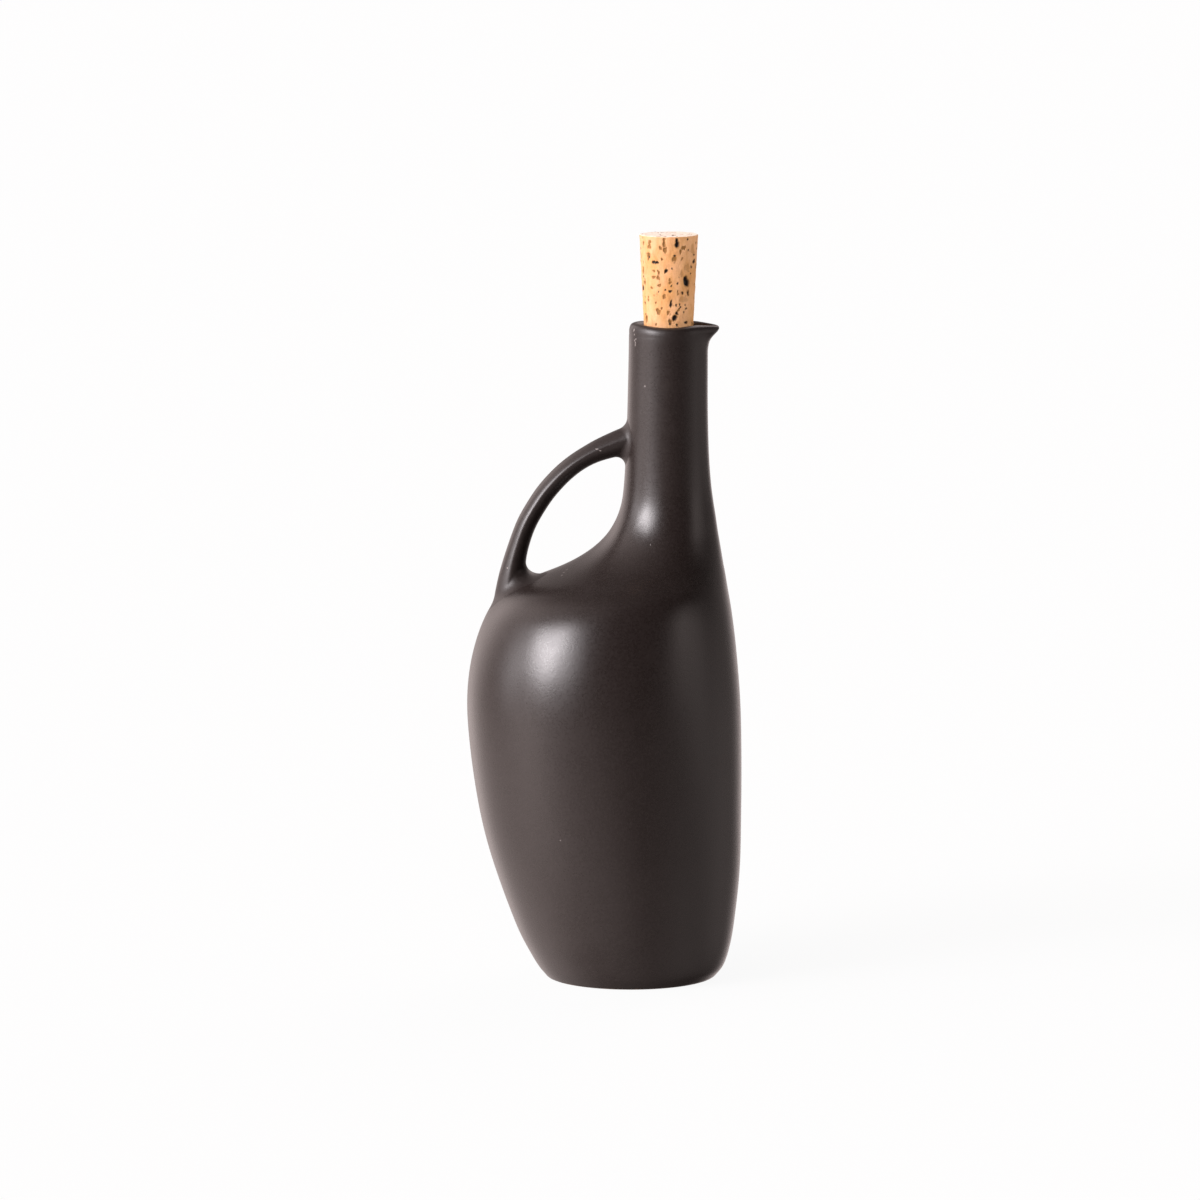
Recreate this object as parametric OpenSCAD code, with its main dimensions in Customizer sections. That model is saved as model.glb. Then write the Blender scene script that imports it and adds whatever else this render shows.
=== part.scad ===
// Stoneware oil cruet: a hand-sized pear-shaped bottle with an off-centre neck,
// a pinched pouring spout, a luted-on strap handle and a tapered cork.
// Millimetres. +Z up, +X towards the spout, origin at the centre of the foot.

/* [Bottle] */
// Height of the rim above the table, at its lowest
rim_h = 230.5; // [215:0.5:245]
// Greatest width of the belly, from left to right
belly_w = 96.5; // [88:0.1:104]
// Outside radius of the neck just under the rim
neck_r = 13.75; // [13:0.05:14.5]
// How far the neck's axis stands from the centre of the foot
neck_x = 13.2; // [12:0.1:14.5]
// Radius of the flat that the bottle stands on
foot_r = 28; // [25:0.5:28.5]
// Radius of the shallow recess under the foot
recess_r = 21.5; // [18:0.5:23]
// Depth of the recess under the foot
recess_d = 1.6; // [0.5:0.1:2.5]

/* [Mouth] */
// How far the spout's tip stands out from the neck
spout_reach = 3.9; // [2:0.1:5]
// Half-angle over which the spout is pinched out of the rim
spout_angle = 24; // [18:1:32]
// How far the spout's tip lies below the rest of the rim
spout_drop = 0.9; // [0.3:0.1:1.5]
// Depth of the pouring channel behind the spout
channel_d = 11; // [7:0.5:14]
// Radial gap between the cork and its tapered seat
seat_gap = 0.05; // [0.02:0.01:0.1]

/* [Cork] */
// Whole length of the cork
cork_len = 44; // [38:0.5:50]
// Radius of the cork's lower end
cork_low_r = 8.1; // [7.8:0.05:8.3]
// Radius of the cork's upper end
cork_top_r = 10.35; // [9.8:0.05:10.8]
// Length of the cork that stands in the neck
cork_in = 12.5; // [9:0.5:16]
// Bevel on the cork's two ends
cork_bevel = 0.45; // [0.2:0.05:0.8]

/* [Handle] */
// Thickness of the handle at mid-grip, outer face to inner face
grip_t = 6.9; // [5.8:0.1:7.6]
// Width of the handle at mid-grip, front to back
grip_w = 10.4; // [9:0.2:12]

/* [Hidden] */
glaze = [0.17, 0.15, 0.145];
cork_colour = [0.86, 0.65, 0.42];

sides = 48;         // points round each ring of the bottle
kz = rim_h / 230.5; // scale of the outline's heights
kx = belly_w / 96.5; // scale of the outline's widths below the neck
seat_slope = (cork_top_r - cork_low_r) / cork_len;
cork_z = rim_h - cork_in; // height of the cork's lower end

// Outside of the wall: height, left-hand edge, right-hand edge.
outline = [
    [1.2, -30.2, 30.6], [4, -32.5, 32.8], [8, -34.9, 34.3], [15, -38.6, 35.8],
    [24, -42.3, 37], [34, -46, 38.1], [45, -49.5, 38.8], [57, -52.5, 39],
    [70, -54.9, 39.1], [84, -56.7, 39], [97, -57.7, 38.5], [108, -56.8, 37.8],
    [118, -54.4, 36.9], [126, -51.5, 35.9], [132, -48.2, 35], [137, -43.2, 34.1],
    [140, -37.5, 33.6], [143, -29.6, 33.1], [146, -22.7, 32.5], [150, -15.6, 31.8],
    [154, -10.5, 31.1], [158, -7.2, 30.4], [163, -4.6, 29.7], [168, -3.1, 28.9],
    [175, -2.2, 28], [185, -1.7, 27.3], [200, -1.2, 26.95], [215, -0.8, 26.9],
    [231, -0.55, 26.95]];

// Inside of the wall: height, left-hand edge, right-hand edge.
cavity = [
    [6, -22, 22], [6.6, -25, 25], [8.5, -28.3, 27.6], [12, -31.7, 29.7],
    [18, -35, 31.2], [30, -39.8, 32.7], [45, -44.5, 33.8], [60, -48.2, 34.1],
    [80, -51.4, 34.1], [97, -52.3, 33.7], [110, -51, 32.8], [119, -48.2, 31.9],
    [126, -44.2, 30.8], [131, -39.4, 30.1], [135, -33.4, 29.4], [138, -27, 28.8],
    [141, -20, 28.2], [144, -13.8, 27.7], [148, -7.4, 27], [153, -2.3, 26],
    [159, 1.2, 24.9], [166, 3.3, 23.7], [175, 4.3, 22.6], [183, 4.9, 21.6],
    [188, 5.9, 20.5]];

// How the spout grows out of the neck: height below its tip, share of its reach.
spout_rise = [[-3, 1], [-0.1, 1], [1, 0.87], [1.7, 0.7], [2.4, 0.53], [3.1, 0.38],
    [4.3, 0.18], [5.8, 0.07], [8, 0], [20, 0]];

// Rounding of the lip: share of the wall from outside to inside, and the drop.
lip = [[0, 0.55], [0.03, 0.36], [0.09, 0.2], [0.17, 0.1], [0.3, 0.03], [0.48, 0],
    [0.7, 0.04], [0.86, 0.14], [0.96, 0.3], [1, 0.5]];

// Handle: x, z, thickness, half-width, from inside the neck wall to the shoulder.
strap = [
    [6, 189.2, 16.5, 6.8], [0.5, 188.8, 15.2, 6.6], [-2.3, 188.6, 12.6, 6],
    [-4.8, 188.1, 10.2, 5.6], [-7.6, 187.5, 8.8, 5.35], [-10.4, 186.45, 7.8, 5.25],
    [-14.5, 184.5, 7, 5.2], [-18.5, 182.1, 6.8, 5.2], [-22.4, 179.1, 6.85, 5.2],
    [-26.2, 175.4, 6.9, 5.2], [-30.2, 170.65, 6.95, 5.2], [-34.1, 164.6, 6.95, 5.2],
    [-36.5, 160.1, 6.95, 5.2], [-38.2, 155.5, 7.1, 5.2], [-39.7, 150.8, 7.6, 5.25],
    [-40.6, 146.5, 8.8, 5.5], [-40.9, 143.4, 10, 5.8], [-41, 140.5, 11.8, 6.2],
    [-40.9, 137, 14, 7], [-40, 131, 15, 7.4]];

function place(t, v, i = 0) = i >= len(t) - 2 || v <= t[i + 1][0] ? i : place(t, v, i + 1);
function slope(t, i, k) =
    let (a = max(i - 1, 0), b = min(i + 1, len(t) - 1))
    (t[b][k] - t[a][k]) / (t[b][0] - t[a][0]);
// Smooth curve through column k of table t, at v in its first column.
function at(t, v, k) =
    let (i = place(t, v), h = t[i + 1][0] - t[i][0],
         u = min(max((v - t[i][0]) / h, 0), 1), u2 = u * u, u3 = u2 * u)
    (2 * u3 - 3 * u2 + 1) * t[i][k] + (u3 - 2 * u2 + u) * h * slope(t, i, k)
    + (3 * u2 - 2 * u3) * t[i + 1][k] + (u3 - u2) * h * slope(t, i + 1, k);

// The neck keeps its own radius and axis; the body below it scales with the belly.
function neckness(z) = let (u = min(max((z - 150) / 30, 0), 1)) u * u * (3 - 2 * u);
function wall_c(t, z) = (at(t, z, 2) + at(t, z, 1)) / 2 * (kx + (1 - kx) * neckness(z))
    + (neck_x - 13.2) * neckness(z);
function wall_r(t, z) = (at(t, z, 2) - at(t, z, 1)) / 2 * (kx + (neck_r / 13.75 - kx) * neckness(z));

function bump(a) = let (s = a > 180 ? a - 360 : a) exp(-(s / spout_angle) * (s / spout_angle));
function inner_bump(a) = let (s = a > 180 ? a - 360 : a, w = spout_angle * 0.8) exp(-(s / w) * (s / w));
function turn(j) = 360 * j / sides;
function rim_z(a) = rim_h + 0.4 - 0.7 * pow(sin(a), 4) - spout_drop * bump(a);
function seat_r(z) = cork_low_r + seat_gap + seat_slope * max(z - cork_z, 0);

// A ring of the outer wall at nominal height z, with the spout's bulge.
function outer_ring(z) = [for (j = [0:sides - 1])
    let (a = turn(j), r = wall_r(outline, z)
        + spout_reach * bump(a) * at(spout_rise, 229 - z, 1))
    [wall_c(outline, z) + r * cos(a), r * sin(a), z * kz]];

// Outer and inner radius of the rim, and the rings that round it over.
function rim_out(a) = neck_r + spout_reach * bump(a);
function rim_in(a) = seat_r(rim_h) + 0.35 + (neck_r - 2.3 + spout_reach - seat_r(rim_h)) * inner_bump(a);
function lip_ring(p) = [for (j = [0:sides - 1])
    let (a = turn(j), w = rim_out(a) - rim_in(a), r = rim_out(a) - p[0] * w)
    [neck_x + r * cos(a), r * sin(a), rim_z(a) - p[1] * w]];

// A ring of the outer wall a share f of the way from the last level up to the lip.
function under_lip(f) = [for (j = [0:sides - 1])
    let (a = turn(j), low = body_z[len(body_z) - 1],
         z = low + f * ((rim_z(a) - lip[0][1] * (rim_out(a) - rim_in(a))) / kz - low),
         r = wall_r(outline, z) + spout_reach * bump(a) * at(spout_rise, 229 - z, 1))
    [wall_c(outline, z) + r * cos(a), r * sin(a), z * kz]];

// Inside of the mouth: the pouring channel, sinking into the bore over channel_d.
function mouth_ring(s) = [for (j = [0:sides - 1])
    let (a = turn(j), w = rim_out(a) - rim_in(a), f = 1 - s,
         r = 7.3 + (rim_in(a) - 0.35 - seat_r(rim_h)) * inner_bump(a) * f * f)
    [neck_x + r * cos(a), r * sin(a), rim_z(a) - 0.5 * w - 0.9 - s * channel_d]];

function inner_ring(z) = [for (j = [0:sides - 1])
    [wall_c(cavity, z) + wall_r(cavity, z) * cos(turn(j)), wall_r(cavity, z) * sin(turn(j)), z * kz]];

// Closed skin through a list of equal rings, with a point at each end.
module skin(rings, low, high) {
    n = len(rings[0]);
    k = len(rings);
    polyhedron(
        points = concat([for (r = rings) each r], [low, high]),
        faces = concat(
            [for (j = [0:n - 1]) [k * n, j, (j + 1) % n]],
            [for (i = [0:k - 2], j = [0:n - 1])
                each [[i * n + j, (i + 1) * n + j, (i + 1) * n + (j + 1) % n],
                      [i * n + j, (i + 1) * n + (j + 1) % n, i * n + (j + 1) % n]]],
            [for (j = [0:n - 1]) [k * n + 1, (k - 1) * n + (j + 1) % n, (k - 1) * n + j]]));
}

body_z = [1.2, 2.5, 4, 7, 11, 15, 22, 29, 36, 43, 50, 57, 64, 71, 78, 85, 92, 99, 106,
    112, 117, 121, 125, 128.5, 131.5, 134, 136, 138, 140, 142, 144, 146, 148.3, 151, 154,
    157, 160, 163, 167, 172, 178, 185, 193, 202, 211, 217, 220, 222, 223.7, 225.2, 226.6];
cavity_z = [188, 182, 173, 165, 158, 153, 149, 145, 142, 139, 136, 133, 130, 126, 121,
    114, 106, 97, 88, 78, 68, 58, 48, 38, 28, 20, 14, 11, 8, 6.6, 6];

foot_ring = [for (j = [0:sides - 1]) [foot_r * cos(turn(j)), foot_r * sin(turn(j)), 0]];
edge_ring = [for (j = [0:sides - 1]) [(foot_r + 1.4) * cos(turn(j)), (foot_r + 1.4) * sin(turn(j)), 0.35]];

module bottle_skin() {
    rings = concat([foot_ring, edge_ring],
        [for (z = body_z) outer_ring(z)],
        [for (f = [0.35, 0.7]) under_lip(f)],
        [for (p = lip) lip_ring(p)],
        [for (s = [0:0.2:1]) mouth_ring(s)],
        [[for (j = [0:sides - 1]) [neck_x + 7.3 * cos(turn(j)), 7.3 * sin(turn(j)), 205 * kz]]],
        [for (z = cavity_z) inner_ring(z)]);
    skin(rings, [0, 0, 0], [0, 0, 6 * kz]);
}

// Tapered seat for the cork, running on into the plain bore of the neck.
module bore() {
    translate([neck_x, 0, 0])
        rotate_extrude($fn = 96)
            polygon([[0, 176 * kz], [seat_r(0), 176 * kz], [seat_r(0), cork_z],
                     [seat_r(rim_h + 3), rim_h + 3], [0, rim_h + 3]]);
}

module bottle() {
    color(glaze)
        difference() {
            bottle_skin();
            bore();
            translate([0, 0, -1])
                cylinder(h = 1 + recess_d, r1 = recess_r + 0.6, r2 = recess_r, $fn = 96);
        }
}

// Part of the bottle's solid outside, for trimming the handle's two ends to it.
module bottle_outside() {
    zs = [for (z = body_z) if (z > 108 && z < 215) z];
    skin([for (z = zs) outer_ring(z)],
        [wall_c(outline, zs[0]), 0, zs[0] * kz],
        [wall_c(outline, zs[len(zs) - 1]), 0, zs[len(zs) - 1] * kz]);
}

strap_n = 3;  // rings between two stations of the handle
strap_sides = 28;
function strap_at(s, k) = at([for (i = [0:len(strap) - 1]) [i, strap[i][k]]], s, 1);
function strap_xz(s) = [strap_at(s, 0) * kx, strap_at(s, 1) * kz];
// One cross-section: rounded outside and inside, with a soft ridge along each side.
function strap_ring(s) =
    let (p = strap_xz(s), q = strap_xz(min(s + 0.05, len(strap) - 1)), o = strap_xz(max(s - 0.05, 0)),
         d = (q - o) / norm(q - o), t = strap_at(s, 2) * grip_t / 6.9, w = strap_at(s, 3) * grip_w / 10.4)
    [for (j = [0:strap_sides - 1])
        let (a = 360 * j / strap_sides, u = cos(a),
             n = (u > 0 ? 0.44 : 0.56) * t * u + 0.06 * t,
             y = sign(sin(a)) * w * sqrt(max(1 - pow(abs(u), 1.5), 0)))
        [p[0] + d[1] * n, y, p[1] - d[0] * n]];

module handle() {
    last = len(strap) - 1;
    color(glaze)
        difference() {
            skin([for (i = [0:last * strap_n]) strap_ring(i / strap_n)],
                [strap_xz(0)[0], 0, strap_xz(0)[1]], [strap_xz(last)[0], 0, strap_xz(last)[1]]);
            bottle_outside();
        }
}

module cork_stopper() {
    b = cork_bevel;
    color(cork_colour)
        translate([neck_x, 0, cork_z])
            rotate_extrude($fn = 96)
                polygon([[0, 0], [cork_low_r - b, 0], [cork_low_r + seat_slope * b, b],
                         [cork_top_r - seat_slope * b, cork_len - b], [cork_top_r - b, cork_len],
                         [0, cork_len]]);
}

bottle();
handle();
cork_stopper();
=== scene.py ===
"""Looks for the stoneware oil cruet: glazed bottle and handle, natural cork, plain pale studio."""

import math

import bpy
import numpy as np
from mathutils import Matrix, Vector


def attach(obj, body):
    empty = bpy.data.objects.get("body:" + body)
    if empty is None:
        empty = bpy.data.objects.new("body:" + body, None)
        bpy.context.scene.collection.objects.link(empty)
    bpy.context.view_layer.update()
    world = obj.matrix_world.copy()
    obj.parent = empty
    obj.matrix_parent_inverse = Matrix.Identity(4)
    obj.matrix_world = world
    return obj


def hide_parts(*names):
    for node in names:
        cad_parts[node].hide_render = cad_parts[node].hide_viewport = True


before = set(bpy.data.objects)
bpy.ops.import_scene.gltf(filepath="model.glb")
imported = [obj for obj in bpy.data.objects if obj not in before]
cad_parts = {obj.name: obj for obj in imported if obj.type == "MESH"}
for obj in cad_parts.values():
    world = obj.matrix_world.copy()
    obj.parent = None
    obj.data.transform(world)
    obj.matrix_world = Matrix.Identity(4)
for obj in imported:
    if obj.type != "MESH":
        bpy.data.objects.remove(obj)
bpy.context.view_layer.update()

MM = 0.001

# ---------------------------------------------------------------- camera
EL = math.radians(7.9)
TARGET = Vector((-0.0107, 0.0, 0.13335))
cam_data = bpy.data.cameras.new("camera")
cam_data.lens = 239.95
cam_data.sensor_width = 36.0
cam_data.clip_start, cam_data.clip_end = 0.05, 80.0
cam_data.dof.use_dof = False
camera = bpy.data.objects.new("camera", cam_data)
back = Vector((0.0, -math.cos(EL), math.sin(EL)))
camera.location = TARGET + back * 2.8
camera.rotation_mode = "QUATERNION"
camera.rotation_quaternion = (-back).to_track_quat("-Z", "Y")
bpy.context.scene.collection.objects.link(camera)
bpy.context.scene.camera = camera

# ---------------------------------------------------------------- the bottle's form, in millimetres
RIM = 230.5
NECK_X, NECK_R = 13.2, 13.75
FOOT_R, RECESS_R, RECESS_D = 28.0, 21.5, 1.6
CORK_LOW, CORK_TOP, CORK_LEN, CORK_IN = 8.1, 10.35, 44.0, 12.5
CORK_Z = RIM - CORK_IN
SEAT = (CORK_TOP - CORK_LOW) / CORK_LEN
REACH, PINCH, DROP, CHANNEL = 3.9, math.radians(24), 0.9, 11.0

# Height, left-hand edge, right-hand edge: the CAD model's stations, with the left edge between 140 and 150
# up to 0.8 mm further in, beside the handle's foot.
OUTLINE = np.array([
    (1.2, -30.2, 30.6), (4, -32.5, 32.8), (8, -34.9, 34.3), (15, -38.6, 35.8),
    (24, -42.3, 37), (34, -46, 38.1), (45, -49.5, 38.8), (57, -52.5, 39),
    (70, -54.9, 39.1), (84, -56.7, 39), (97, -57.7, 38.5), (108, -56.8, 37.8),
    (118, -54.4, 36.9), (126, -51.5, 35.9), (132, -48.2, 35), (137, -43.2, 34.1),
    (140, -36.8, 33.6), (143, -28.8, 33.1), (146, -22.0, 32.5), (150, -15.3, 31.8),
    (154, -10.5, 31.1), (158, -7.2, 30.4), (163, -4.6, 29.7), (168, -3.1, 28.9),
    (175, -2.2, 28), (185, -1.7, 27.3), (200, -1.2, 26.95), (215, -0.8, 26.9),
    (231, -0.55, 26.95)])
CAVITY = np.array([
    (6, -22, 22), (6.6, -25, 25), (8.5, -28.3, 27.6), (12, -31.7, 29.7),
    (18, -35, 31.2), (30, -39.8, 32.7), (45, -44.5, 33.8), (60, -48.2, 34.1),
    (80, -51.4, 34.1), (97, -52.3, 33.7), (110, -51, 32.8), (119, -48.2, 31.9),
    (126, -44.2, 30.8), (131, -39.4, 30.1), (135, -33.4, 29.4), (138, -27, 28.8),
    (141, -20, 28.2), (144, -13.8, 27.7), (148, -7.4, 27), (153, -2.3, 26),
    (159, 1.2, 24.9), (166, 3.3, 23.7), (175, 4.3, 22.6), (183, 4.9, 21.6),
    (188, 5.9, 20.5)])


def step(x, a, b):
    u = np.clip((np.asarray(x, float) - a) / (b - a), 0, 1)
    return u * u * (3 - 2 * u)


def hermite(tab, v, k):
    t, y = tab[:, 0], tab[:, k]
    s = np.empty(len(t))
    s[1:-1] = (y[2:] - y[:-2]) / (t[2:] - t[:-2])
    s[0], s[-1] = (y[1] - y[0]) / (t[1] - t[0]), (y[-1] - y[-2]) / (t[-1] - t[-2])
    v = np.asarray(v, float)
    i = np.clip(np.searchsorted(t, v, side="right") - 1, 0, len(t) - 2)
    h = t[i + 1] - t[i]
    u = np.clip((v - t[i]) / h, 0, 1)
    return ((2 * u**3 - 3 * u**2 + 1) * y[i] + (u**3 - 2 * u**2 + u) * h * s[i]
            + (3 * u**2 - 2 * u**3) * y[i + 1] + (u**3 - u**2) * h * s[i + 1])


def blur(y, sigma, dz):
    n = int(4 * sigma / dz)
    k = np.exp(-0.5 * (np.arange(-n, n + 1) * dz / sigma) ** 2)
    k /= k.sum()
    lo = 2 * y[0] - y[n:0:-1]
    hi = 2 * y[-1] - y[-2:-n - 2:-1]
    return np.convolve(np.concatenate([lo, y, hi]), k, mode="valid")


# The outline is faired, so that no reflection shows where its stations are.
DZ = 0.2
GRID = np.arange(1.2, 231.0 + DZ / 2, DZ)
EDGE = []
for col in (1, 2):
    raw = hermite(OUTLINE, GRID, col)
    fine, wide = blur(raw, 1.3, DZ), blur(raw, 5.0, DZ)
    w = step(GRID, 16, 34) * (1 - step(GRID, 104, 122)) + step(GRID, 168, 184)
    w[GRID < 6] = 0
    faired = fine * (1 - w) + wide * w
    keep = 1 - step(GRID, 2, 8)
    EDGE.append(raw * keep + faired * (1 - keep))
WALL_C, WALL_R = (EDGE[0] + EDGE[1]) / 2, (EDGE[1] - EDGE[0]) / 2


def wall_c(z):
    return np.interp(z, GRID, WALL_C)


def wall_r(z):
    return np.interp(z, GRID, WALL_R)


def wobble(phi, z):
    """The slight unevenness of a piece made by hand, in millimetres."""
    z = np.asarray(z, float)
    f = step(z, 5, 18) * (1 - step(z, 196, 216))
    neck = 1 - 0.55 * step(z, 140, 165)
    return f * neck * (0.10 * np.sin(2 * phi + z / 21.0 + 0.7) + 0.07 * np.sin(3 * phi - z / 14.0 + 2.1)
                       + 0.04 * np.sin(5 * phi + z / 9.5 + 4.0) + 0.03 * np.sin(z / 5.1 + phi + 1.0))


def wrap(a):
    return (np.asarray(a) + np.pi) % (2 * np.pi) - np.pi


def bump(a):
    return np.exp(-(wrap(a) / PINCH) ** 2)


def inner_bump(a):
    return np.exp(-(wrap(a) / (0.8 * PINCH)) ** 2)


RISE = np.array([(-3, 1.0), (-0.1, 1), (1, 0.87), (1.7, 0.7), (2.4, 0.53), (3.1, 0.38), (4.3, 0.18), (5.8, 0.07), (8, 0), (20, 0)])


def rise(depth):
    return np.clip(hermite(RISE, np.clip(depth, -3, 20), 1), 0, 1)


def rim_z(a):
    return RIM + 0.4 - 0.7 * np.sin(a) ** 4 - DROP * bump(a)


def seat_r(z):
    return CORK_LOW + 0.05 + SEAT * np.maximum(np.asarray(z, float) - CORK_Z, 0)


def rim_out(a):
    return NECK_R + REACH * bump(a)


def rim_in(a):
    return seat_r(RIM) + 0.35 + (NECK_R - 2.3 + REACH - seat_r(RIM)) * inner_bump(a)


def outer_ring(z, a):
    c, r = wall_c(z), wall_r(z) + wobble(a, z) + REACH * bump(a) * rise(229 - z)
    return np.stack([c + r * np.cos(a), r * np.sin(a), np.full_like(a, z)], 1)


# ---------------------------------------------------------------- mesh making
def add_object(name, verts_mm, faces, sharp_rings=()):
    me = bpy.data.meshes.new(name)
    me.from_pydata((np.asarray(verts_mm) * MM).tolist(), [], faces)
    me.polygons.foreach_set("use_smooth", [True] * len(me.polygons))
    if sharp_rings:
        flags = np.zeros(len(me.edges), bool)
        ends = np.empty(len(me.edges) * 2, int)
        me.edges.foreach_get("vertices", ends)
        ends = ends.reshape(-1, 2)
        for first, count in sharp_rings:
            inside = (ends >= first) & (ends < first + count)
            flags |= inside.all(1)
        me.attributes.new("sharp_edge", "BOOLEAN", "EDGE")
        me.attributes["sharp_edge"].data.foreach_set("value", flags)
    me.update()
    ob = bpy.data.objects.new(name, me)
    bpy.context.scene.collection.objects.link(ob)
    return ob


def skin(rings, low, high):
    """A closed mesh through equal rings, with one point at each end."""
    n, k = len(rings[0]), len(rings)
    verts = np.concatenate([*rings, [low], [high]])
    j = np.arange(n)
    j1 = (j + 1) % n
    faces = []
    for i in range(k - 1):
        faces += np.stack([i * n + j, i * n + j1, (i + 1) * n + j1, (i + 1) * n + j], 1).tolist()
    faces += np.stack([np.full(n, k * n), j1, j], 1).tolist()
    faces += np.stack([np.full(n, k * n + 1), (k - 1) * n + j, (k - 1) * n + j1], 1).tolist()
    return verts, faces


def catmull(points, per):
    """A smooth open curve through points, per steps to a span."""
    p = np.asarray(points, float)
    p = np.concatenate([[2 * p[0] - p[1]], p, [2 * p[-1] - p[-2]]])
    out = []
    for i in range(1, len(p) - 2):
        for u in np.arange(per) / per:
            out.append(0.5 * (2 * p[i] + (p[i + 1] - p[i - 1]) * u
                              + (2 * p[i - 1] - 5 * p[i] + 4 * p[i + 1] - p[i + 2]) * u**2
                              + (3 * p[i] - p[i - 1] - 3 * p[i + 1] + p[i + 2]) * u**3))
    out.append(p[-2])
    return np.array(out)


# ---------------------------------------------------------------- bottle
SEG = 256
ANG = np.arange(SEG) * 2 * np.pi / SEG
rings = []


def flat_ring(r, z, c=0.0):
    rings.append(np.stack([c + r * np.cos(ANG), r * np.sin(ANG), np.full(SEG, float(z))], 1))


# underside: recess, its rounded step, the flat foot ring and the foot's rounded edge
for r in (4, 8, 12, 15.5, 18.5, 20.4):
    flat_ring(r, 1.6 + 0.25 * (1 - (r / 21.0) ** 2))
for r, z in ((21.05, 1.58), (21.38, 1.42), (21.55, 1.15), (21.62, 0.8), (21.7, 0.45), (21.85, 0.2), (22.15, 0.05), (22.6, 0.0)):
    flat_ring(r, z)
for r in (23.8, 25.2, 26.6, 27.6):
    flat_ring(r, 0)
edge_low = wall_c(1.2), wall_r(1.2)
for r, z, share in ((28.3, 0.03, 0.1), (28.9, 0.14, 0.3), (29.4, 0.33, 0.5), (29.9, 0.66, 0.75)):
    flat_ring(r, z, edge_low[0] * share)
levels = np.concatenate([
    np.arange(1.2, 6, 0.6), np.arange(6, 20, 1.0), np.arange(20, 116, 1.6), np.arange(116, 126, 1.0),
    np.arange(126, 156, 0.6), np.arange(156, 172, 0.9), np.arange(172, 215, 1.6), np.arange(215, 226.7, 0.6)])
for z in levels:
    rings.append(outer_ring(z, ANG))
# lip
LIP = catmull([(0, 0.55), (0.03, 0.36), (0.09, 0.2), (0.17, 0.1), (0.3, 0.03), (0.48, 0),
               (0.7, 0.04), (0.86, 0.14), (0.96, 0.3), (1, 0.5)], 3)
width = rim_out(ANG) - rim_in(ANG)
low_z = levels[-1]
for f in np.arange(0.2, 0.99, 0.2):
    z = low_z + f * (rim_z(ANG) - LIP[0][1] * width - low_z)
    r = wall_r(z) * (1 - f) + NECK_R * f + REACH * bump(ANG) * rise(229 - z)
    rings.append(np.stack([NECK_X + r * np.cos(ANG), r * np.sin(ANG), z], 1))
for s, d in LIP:
    r = rim_out(ANG) - s * width
    rings.append(np.stack([NECK_X + r * np.cos(ANG), r * np.sin(ANG), rim_z(ANG) - d * width], 1))
# mouth and pouring channel, sinking into the tapered seat
lip_low = rim_z(ANG) - 0.5 * width
for t in np.concatenate([np.arange(0.25, 2, 0.25), np.arange(2, 12.01, 0.5)]):
    g = np.clip(1 - t / CHANNEL, 0, 1) ** 2
    z = (lip_low - t) * (1 - step(t, 4, 12)) + (228.4 - t) * step(t, 4, 12)
    r = seat_r(z) + 0.02 + 0.33 * math.exp(-t / 0.5) + (rim_in(0) - seat_r(RIM) - 0.35) * inner_bump(ANG) * g
    rings.append(np.stack([NECK_X + r * np.cos(ANG), r * np.sin(ANG), z], 1))
for z in np.arange(215, 184, -2.0):
    flat_ring(seat_r(0), z, NECK_X)
inside_z = np.concatenate([np.arange(183, 160, -1.5), np.arange(160, 118, -1.2), np.arange(118, 20, -2.5),
                           [18, 16, 14, 12, 10.5, 9.3, 8.4, 7.6, 7.0, 6.6, 6.3, 6.1]])
for z in inside_z:
    l, r = hermite(CAVITY, z, 1), hermite(CAVITY, z, 2)
    m = step(z, 176, 184)
    flat_ring((r - l) / 2 * (1 - m) + max((r - l) / 2, seat_r(0)) * m, z, (l + r) / 2 * (1 - m) + NECK_X * m)
for r in (21.5, 18, 13, 8, 4):
    flat_ring(r, 6.0)
verts, faces = skin(rings, (0, 0, 1.85), (0, 0, 6.0))
# rings run bottom outside -> up -> inside -> floor, so the faces already look outwards
bottle = add_object("bottle_glazed", verts, faces)

# ---------------------------------------------------------------- handle
# Centre line in the plane of symmetry with thickness and half-width, from neck to shoulder.
STRAP = catmull([
    (6, 192.0, 9.7, 5.4), (0, 190.2, 9.4, 5.4), (-4.8, 188.5, 8.9, 5.35), (-10.4, 186.45, 7.8, 5.25),
    (-14.5, 184.5, 7.05, 5.2), (-18.5, 182.1, 6.8, 5.2), (-22.4, 179.1, 6.8, 5.2),
    (-26.2, 175.4, 6.85, 5.2), (-30.2, 170.65, 6.9, 5.2), (-34.1, 164.6, 6.9, 5.2),
    (-36.5, 160.1, 6.95, 5.2), (-38.25, 155.5, 7.05, 5.2), (-39.7, 150.8, 7.4, 5.25),
    (-40.72, 146.5, 8.15, 5.4), (-41.53, 141.5, 9.35, 5.6), (-41.95, 137.0, 10.5, 5.8),
    (-42.3, 131.0, 11.8, 5.9), (-42.3, 126.0, 12.2, 6.0)], 12)
arc = np.concatenate([[0], np.cumsum(np.linalg.norm(np.diff(STRAP[:, :2], axis=0), axis=1))])
ARC = np.arange(0, arc[-1], 0.25)
SX, SZ, ST, SW = (blur(np.interp(ARC, arc, STRAP[:, k]), 1.2, 0.25) for k in range(4))
TX, TZ = np.gradient(SX, 0.25), np.gradient(SZ, 0.25)
norm = np.hypot(TX, TZ)
TX, TZ = TX / norm, TZ / norm

AROUND = 96
theta = np.arange(AROUND) * 2 * np.pi / AROUND


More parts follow.
